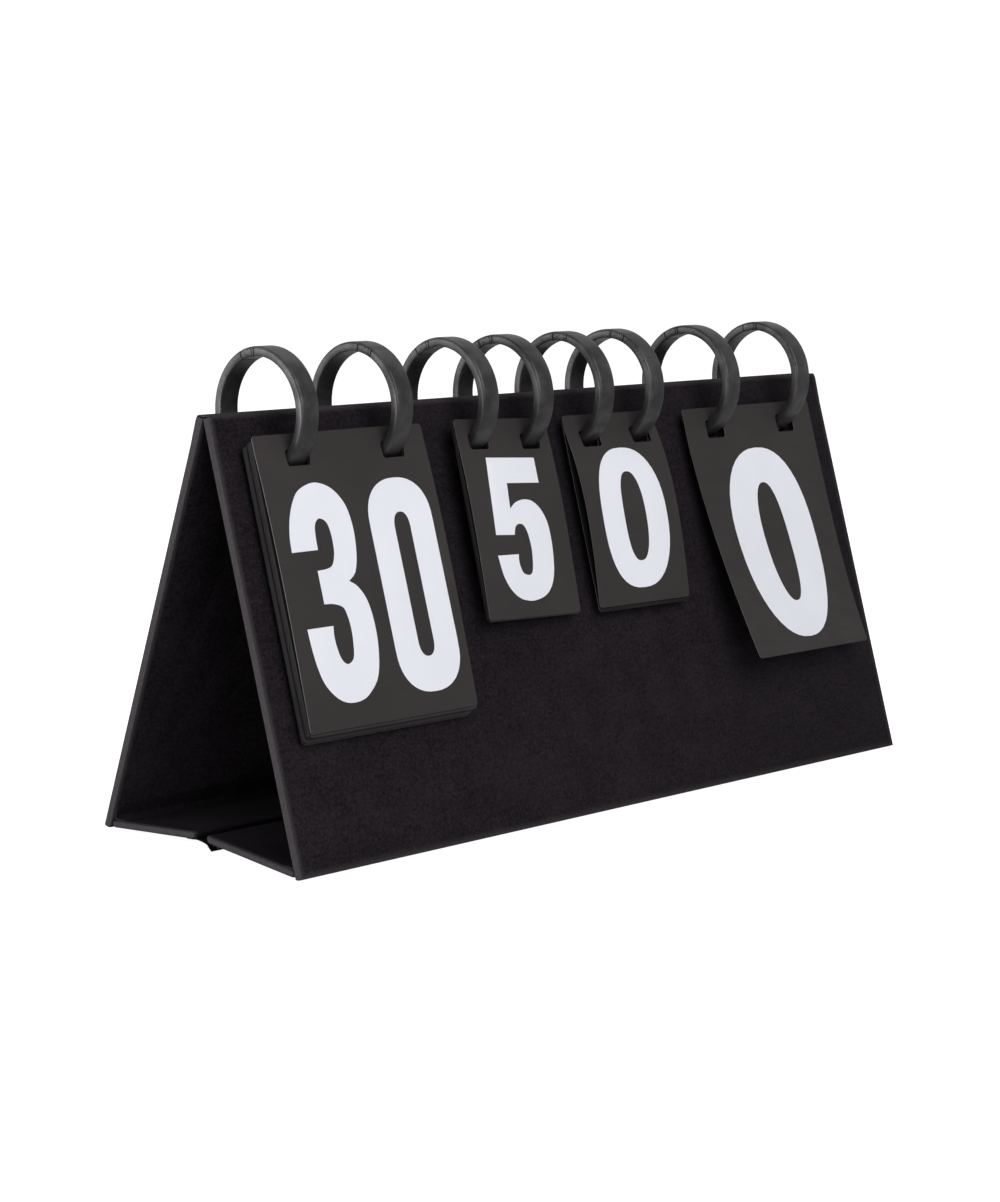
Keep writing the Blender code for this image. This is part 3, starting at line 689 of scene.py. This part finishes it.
def glyph_zero(cx, outer, hole, power=2.3):
    """An upright oval numeral's outer and inner outlines, each from (width, top, bottom, cap height)."""
    loops = []
    for width, top, bottom, cap in (outer, hole):
        a = width / 2
        points = []
        for sign_x, sign_y, order in ((1, -1, 1), (-1, -1, -1), (-1, 1, 1), (1, 1, -1)):
            middle = top + cap if sign_y < 0 else bottom - cap
            quarter = []
            for i in range(QUARTER_STEPS + 1):
                t = math.pi / 2 * i / QUARTER_STEPS
                across, up = (f(t) ** (2 / power) for f in (math.cos, math.sin))
                quarter.append((cx + sign_x * a * across, middle + sign_y * cap * up))
            points += quarter[::order]
        clean = []
        for p in points:
            if not clean or math.dist(p, clean[-1]) > SAME_POINT:
                clean.append(p)
        if math.dist(clean[0], clean[-1]) < SAME_POINT:
            clean.pop()
        loops.append(clean)
    return loops


THREE = [
    (9.1, 47.4, 1), (9.6, 41.0), (11.6, 33.5), (14.75, 27.3), (18.9, 22.9), (26.6, 20.5), (33.5, 21.9),
    (38.5, 25.4), (42.0, 30.4), (43.5, 36.0), (43.9, 42.3), (43.3, 48.5), (42.0, 54.1), (39.8, 58.5),
    (36.1, 61.1, 1), (39.8, 63.5), (42.9, 67.9), (44.5, 73.5), (45.0, 79.8), (44.8, 86.0), (43.5, 93.5),
    (41.3, 99.8), (37.9, 104.1), (32.3, 107.9), (26.0, 109.0), (20.4, 107.9), (16.0, 104.8), (12.3, 99.8),
    (10.4, 93.5), (9.4, 86.0), (9.0, 77.9, 1), (22.9, 77.9, 1), (22.3, 82.0), (22.6, 87.0), (23.8, 91.4),
    (26.0, 93.5), (28.3, 93.1), (30.4, 91.0), (31.6, 85.4), (32.0, 79.8), (31.3, 74.1), (29.8, 71.0),
    (25.4, 69.4), (20.5, 69.0, 1), (20.5, 55.6, 1), (25.4, 55.3), (28.8, 54.1), (30.8, 50.4), (31.5, 46.0),
    (31.3, 40.4), (30.0, 36.6), (26.75, 35.0), (24.0, 37.3), (23.1, 42.3), (22.9, 47.4, 1),
]
FIVE = [
    (17.0, 16.8, 1), (48.5, 17.5, 1), (48.7, 28.5, 1), (27.6, 28.1, 1), (26.7, 39.1, 1), (30.1, 36.9),
    (34.2, 35.7), (37.8, 35.5), (41.5, 36.2), (45.1, 38.5), (47.8, 41.9), (49.5, 46.0), (50.0, 50.5),
    (49.9, 56.0), (49.2, 61.5), (48.0, 66.9), (46.0, 71.5), (42.8, 75.1), (38.7, 77.4), (34.2, 78.5),
    (29.6, 78.8), (24.2, 77.8), (20.1, 75.5), (16.9, 71.9), (14.6, 66.9), (13.5, 60.5), (13.3, 58.7, 1),
    (26.8, 58.7, 1), (26.3, 61.5), (26.6, 64.2), (27.8, 66.7), (30.5, 67.8), (32.8, 67.4), (34.2, 65.5),
    (35.1, 62.4), (35.8, 57.8), (35.8, 54.2), (35.1, 49.6), (33.7, 46.9), (31.9, 45.9), (29.6, 46.0),
    (27.8, 47.2), (26.9, 49.2), (26.5, 50.4, 1), (14.5, 50.0, 1),
]
FIVE_SHIFT = -1.0


def card_place(side, n_front, centre_x, top, tilt=0.0, yaw=0.0):
    move = Matrix.Translation((centre_x * MM, side * n_front * MM, -top * MM))
    return panel_matrix(side) @ move @ Matrix.Rotation(tilt, 4, "Y") @ Matrix.Rotation(yaw, 4, "Z")


def card_slots(side, size, rings, n_front, centre_x, top, tilt=0.0, yaw=0.0, deeper=0.0):
    """The outlines of a card's slots, which hang from its two rings."""
    loops = []
    for x in rings:
        local = (x - centre_x) / math.cos(yaw) / math.cos(tilt)
        upper = ring_cross(RING_INNER, n_front + side * local * math.sin(yaw)) - HANG_CLEAR - top
        height = CARD_SLOT_H + deeper
        if side > 0:
            upper -= FOLD_CLEAR
            height += 2 * FOLD_CLEAR
        upper -= local * math.tan(tilt)
        mid = local + size[0] / 2
        left, right = mid - CARD_SLOT_W / 2, mid + CARD_SLOT_W / 2
        loops.append(rounded(left, right, upper, upper + height, SLOT_ROUND))
    return loops


def inside(x, y, loop):
    odd = False
    for (ax, ay), (bx, by) in zip(loop, loop[1:] + loop[:1]):
        if (ay > y) != (by > y) and x < ax + (bx - ax) * (y - ay) / (by - ay):
            odd = not odd
    return odd


def card_form(side, size, slots, thick, glyphs=(), lift=None):
    """Verts, faces and material indices of one card: 0 face, 1 ink, 2 cut edge. lift bends a card."""
    width, height = size
    outline = rounded(0, width, 0, height, CARD_ROUND, 5)
    if lift:
        outline = split_sides(outline, GRID)
    points, edges = [], []
    for loop in [outline, *slots, *(loop for glyph in glyphs for loop in glyph)]:
        base, count = len(points), len(loop)
        points += [Vector(p) for p in loop]
        edges += [(base + i, base + (i + 1) % count) for i in range(count)]
    if lift:
        # The inner points lean a little, so that no four of them lie on one circle.
        lean_x, lean_y = 0.013, 0.011
        columns, rows = int(width / GRID), int(height / GRID)
        for i in range(1, columns):
            for j in range(1, rows):
                points.append(Vector((width * i / columns + lean_x * j, height * j / rows + lean_y * i)))
    flat, _, triangles = delaunay_2d_cdt(points, edges, [], 0, 1e-5)[:3]
    kept, inks = [], []
    for triangle in triangles:
        x, y = (sum(flat[i][k] for i in triangle) / 3 for k in (0, 1))
        if inside(x, y, outline) and not any(inside(x, y, loop) for loop in slots):
            kept.append(tuple(triangle))
            inks.append(int(any(sum(inside(x, y, loop) for loop in glyph) == 1 for glyph in glyphs)))
    verts = []
    for depth in (0.0, thick):
        for p in flat:
            out_by = lift(p.x, p.y) if lift else 0.0
            verts.append((p.x - width / 2, side * (out_by - depth), -p.y))
    count = len(flat)
    faces = kept + [tuple(v + count for v in t[::-1]) for t in kept]
    indices = inks + [0] * len(kept)
    sides = dict.fromkeys((t[k], t[(k + 1) % 3]) for t in kept for k in range(3))
    for a, b in sides:
        if (b, a) not in sides:
            faces.append((b, a, a + count, b + count))
            indices.append(2)
    return verts, faces, indices


def bow(amount, height, start):
    """A bend that stands out most above the card's middle, from start millimetres down."""

    def lift(x, y):
        s = min(1.0, max(0.0, (y - start) / (height - start)))
        return amount * math.sin(math.pi * s**0.8)

    return lift


def curl(left, right, size, start, power_left=1.6, power_right=3.0):
    """A bend that swings the lower edge out, by another amount at its left than at its right."""

    def lift(x, y):
        s = min(1.0, max(0.0, (y - start) / (size[1] - start)))
        t = x / size[0]
        return (left * (1 - t) + right * t) * s ** (power_left * (1 - t) + power_right * t)

    return lift


# How far to the left the camera sees a point of a card for each millimetre that it stands out.
SEEN_SHIFT = 1.06


def unbowed(loops, lift):
    """Outlines read on a flat picture of the card, moved back to where they lie on the bent card."""
    return [[(p[0] - SEEN_SHIFT * lift(p[0], p[1]), p[1]) for p in loop] for loop in loops]


def front_card(name, size, rings, n_front, centre_x, top, glyphs, lift, tilt=0.0, yaw=0.0, deeper=0.0):
    slots = card_slots(-1, size, rings, n_front, centre_x, top, tilt, yaw, deeper)
    verts, faces, indices = card_form(-1, size, slots, CARD_T, glyphs, lift)
    place = card_place(-1, n_front, centre_x, top, tilt, yaw)
    mesh = mesh_of(name, verts, faces, indices)
    piece(name + "_sheet", mesh, [CARD, INK, CUT_SIDE_HIGHLIGHT], name, [name], place)


# Front cards, from the left: L and R are the large sets, S and T the small ones.
L_RINGS, S_RINGS, T_RINGS, R_RINGS = RING_X[0:2], RING_X[2:4], RING_X[4:6], RING_X[6:8]
L_X, L_FRONT, L_TOP = -134.8, 9.5, 21.4
l_lift = bow(1.45, BIG[1], 6.0)
three = unbowed([catmull(THREE, 5, True)], l_lift)
l_zero = unbowed(glyph_zero(71.1, (35.4, 21.5, 109.9, 18.0), (8.7, 35.7, 95.4, 6.6)), l_lift)
front_card("card_l30", BIG, L_RINGS, L_FRONT, L_X, L_TOP, [three, l_zero], l_lift)

S_X, S_FRONT, S_TOP = -39.9, 8.4, 21.9
S_YAW, S_TILT = math.radians(4.0), math.radians(1.6)
s_lift = bow(1.25, SMALL[1], 6.0)
five = unbowed([catmull([(p[0] + FIVE_SHIFT, *p[1:]) for p in FIVE], 5, True)], s_lift)
front_card("card_s5", SMALL, S_RINGS, S_FRONT, S_X, S_TOP, [five], s_lift, S_TILT, S_YAW)

# The last two cards stand above their places in the part. Their slots stay at the rings and run deeper.
T_X, T_FRONT, T_TOP, T_TILT = 31.8, 5.8, 23.3, math.radians(0.6)
T_RAISED = 0.6
t_lift = bow(3.7, SMALL[1], 8.0)
t_zero = glyph_zero(30.7, (42.5, 16.2, 79.0, 31.8), (14.4, 27.2, 67.2, 20.0), 2.45)
front_card(
    "card_t0", SMALL, T_RINGS, T_FRONT, T_X, T_TOP - T_RAISED, [t_zero], t_lift, T_TILT, deeper=T_RAISED,
)

R_X, R_FRONT, R_TOP = 128.9, 5.5, 24.8
R_RAISED, R_DEEPER = 0.9, 1.4
r_lift = curl(15.5, 5.8, BIG, 14.0)
r_zero = glyph_zero(46.6, (60.0, 20.6, 112.0, 46.0), (18.6, 37.2, 94.5, 28.8))
front_card("card_r0", BIG, R_RINGS, R_FRONT, R_X, R_TOP - R_RAISED, [r_zero], r_lift, deeper=R_DEEPER)


# Stacks: every card behind the front one is its own thin leaf, hung from the ring and so sheared.
SIDE_JITTER, TOP_JITTER = 0.12, 0.06


def leaves(
    name, body, side, size, rings, fronts, centre_x, top_at, seed, shifts=None, tilt=0.0, yaw=0.0,
    mats=(CARD, INK, CUT_SIDE_SHADE),
):
    rng = random.Random(seed)
    verts, faces, indices = [], [], []
    for n_front, shift in zip(fronts, shifts or [0.0] * len(fronts)):
        x = centre_x + shift + rng.uniform(-SIDE_JITTER, SIDE_JITTER)
        top = top_at(n_front) + rng.uniform(-TOP_JITTER, TOP_JITTER)
        slots = card_slots(side, size, rings, n_front, x, top, tilt, yaw)
        leaf_verts, leaf_faces, leaf_indices = card_form(side, size, slots, LEAF_T)
        place = card_place(side, n_front, x, top, tilt, yaw)
        base = len(verts)
        verts += [tuple(c / MM for c in place @ (Vector(p) * MM)) for p in leaf_verts]
        faces += [tuple(i + base for i in face) for face in leaf_faces]
        indices += leaf_indices
    piece(name + "_leaves", mesh_of(name, verts, faces, indices), mats, body, [name])


def top_like(n0, top0):
    """Tops of leaves that hang freely: each follows the ring's curve from a known one."""
    return lambda n: top0 + ring_cross(RING_INNER, n) - ring_cross(RING_INNER, n0)


def level(top):
    return lambda n: top


def run(first, last, count):
    return [first + (last - first) * i / (count - 1) for i in range(count)]


def grouped(groups, n0, top0, follow=0.35):
    """Leaves that cling together hang almost level; the step falls between the groups."""
    free = top_like(n0, top0)

    def top_at(n):
        middle = min((sum(g) / len(g) for g in groups), key=lambda m: abs(m - n))
        return free(middle) + follow * (free(n) - free(middle))

    return top_at


# A run gives how far each leaf's face stands off the panel: BEHIND its front card first, NEAREST last.
# The small sets' leaves hang lower than their front cards. The last group of the left set fans out.
BEHIND, NEAREST = 0.62, 0.8
S_LOWER, T_LOWER = 0.5, 1.2
REAR_R_X, REAR_S_X, REAR_T_X, REAR_SMALL_TOP = 129.25, -39.75, 33.1, 24.4
l_groups = (run(8.45, 6.0, 11), run(5.0, 3.35, 8), run(3.05, NEAREST, 11))
l_shifts = [0.3] * 11 + [0.0] * 8 + [0.3 + 0.18 * i for i in range(11)]
BUNDLES = (0, 8, 16, 23, 30)
for word, side, rings, fronts, x, top_at, shifts, seed in (
    ("l", -1, L_RINGS, sum(l_groups, []), L_X, grouped(l_groups, L_FRONT, L_TOP), l_shifts, 10),
    ("r", 1, R_RINGS, run(9.2, NEAREST, 30), REAR_R_X, top_like(L_FRONT, L_TOP), [0.0] * 30, 20),
):
    for i, letter in enumerate("abcd"):
        part = slice(BUNDLES[i], BUNDLES[i + 1])
        leaves(
            f"bundle_{word}_{letter}", f"stack_{word}", side, BIG, rings, fronts[part], x, top_at, seed + i,
            shifts[part],
        )
leaves(
    "bundle_s5_a", "stack_s5", -1, SMALL, S_RINGS, run(S_FRONT - BEHIND, S_FRONT - 1.88, 5), S_X,
    level(S_TOP + S_LOWER), 31, tilt=S_TILT, yaw=S_YAW,
)
leaves(
    "bundle_s5_b", "stack_s5_rear", 1, SMALL, S_RINGS, run(1.7, NEAREST, 4), REAR_S_X,
    level(REAR_SMALL_TOP), 32,
)
# The t0 backing leaves take the card in painted shade, with the light cut edge as a painted highlight line.
leaves(
    "bundle_t0_a", "stack_t0", -1, SMALL, T_RINGS, [T_FRONT - BEHIND, T_FRONT - 0.95], T_X,
    level(T_TOP + T_LOWER), 33, [-0.1, 0.1], tilt=T_TILT, mats=(CARD_IN_SHADE, INK, CUT_SIDE_HIGHLIGHT),
)
leaves(
    "bundle_t0_b", "stack_t0_rear", 1, SMALL, T_RINGS, run(3.2, NEAREST, 9), REAR_T_X,
    level(REAR_SMALL_TOP), 34,
)


# ---- stage, light and camera ----
def white_stage(name, reflectance, lift):
    """A pale matt surface that a camera sees near white, with the shadows that fall on it."""
    n = Nodes(bpy.data.materials.new(name))
    n.tree.nodes.clear()
    diffuse = n.add("BsdfDiffuse", {"Color": (reflectance, reflectance, reflectance, 1)})[0]
    seen = n.math("MULTIPLY", n.add("LightPath")["Is Camera Ray"], lift)
    glow = n.add("Emission", {"Color": WHITE, "Strength": seen})[0]
    n.add("OutputMaterial", {"Surface": n.add("AddShader", {0: diffuse, 1: glow})[0]})
    return n.owner


FLOOR = 6
ground = bpy.data.meshes.new("floor")
corners = [(x * FLOOR, y * FLOOR, 0) for x, y in ((-1, -1), (1, -1), (1, 1), (-1, 1))]
ground.from_pydata(corners, [], [(0, 1, 2, 3)])
ground.materials.append(white_stage("floor_white", reflectance=0.8, lift=0.9))
floor = bpy.data.objects.new("floor", ground)
bpy.context.scene.collection.objects.link(floor)

# A white studio: what the camera sees of it, what glossy reflections add, and the dim light on the rest.
SEEN_WHITE, IN_GLOSS, AMBIENT = 1.02, 0.48, 0.14
bpy.context.scene.world = bpy.data.worlds.new("studio")
studio = Nodes(bpy.context.scene.world)
studio.tree.nodes.clear()
ray = studio.add("LightPath")
strength = studio.math("MULTIPLY_ADD", ray["Is Glossy Ray"], IN_GLOSS, AMBIENT)
dim = studio.add("Background", {"Color": WHITE, "Strength": strength})[0]
bright = studio.add("Background", {"Color": WHITE, "Strength": SEEN_WHITE})[0]
both = studio.add("MixShader", {0: ray["Is Camera Ray"], 1: dim, 2: bright})[0]
studio.add("OutputWorld", {"Surface": both})


def softbox(name, at, target, size, power):
    lamp = bpy.data.lights.new(name, "AREA")
    lamp.shape, lamp.size, lamp.size_y, lamp.energy = "RECTANGLE", size[0], size[1], power
    obj = bpy.data.objects.new(name, lamp)
    bpy.context.scene.collection.objects.link(obj)
    obj.location = at
    obj.rotation_euler = (Vector(target) - Vector(at)).to_track_quat("-Z", "Y").to_euler()


softbox("key", at=(-0.45, -1.65, 1.25), target=(0, 0, 0.1), size=(1.8, 1.5), power=37)
softbox("side", at=(-1.9, 0.15, 0.16), target=(0, 0, 0.1), size=(1.0, 0.3), power=28)
softbox("rim", at=(-1.4, 1.3, 0.36), target=(0, 0, 0.16), size=(1.2, 0.7), power=12)
softbox("top", at=(0.3, 0.5, 1.8), target=(0, 0, 0.1), size=(1.2, 0.8), power=5)

# The photograph's camera. Its focal length is in pixels of the photograph's width.
FOCAL_PX, PHOTO_PX, SENSOR = 2896.27, 1000.0, 36.0
ROLL = math.radians(1.36)
eye = Vector((-0.92950, -0.85772, 0.28651))
look = Vector((0.71768, 0.67786, -0.15951)).normalized()
level_right = look.cross(Vector((0, 0, 1))).normalized()
level_up = level_right.cross(look)
right = level_right * math.cos(ROLL) + level_up * math.sin(ROLL)
up = level_up * math.cos(ROLL) - level_right * math.sin(ROLL)
lens = bpy.data.cameras.new("photo")
camera = bpy.data.objects.new("photo", lens)
bpy.context.scene.collection.objects.link(camera)
camera.matrix_world = Matrix((
    (right.x, up.x, -look.x, eye.x),
    (right.y, up.y, -look.y, eye.y),
    (right.z, up.z, -look.z, eye.z),
    (0, 0, 0, 1),
))
lens.sensor_fit = "HORIZONTAL"
lens.sensor_width = SENSOR
lens.lens = FOCAL_PX * SENSOR / PHOTO_PX
lens.clip_start = 0.01
bpy.context.scene.camera = camera
bpy.context.scene.view_settings.view_transform = "Standard"
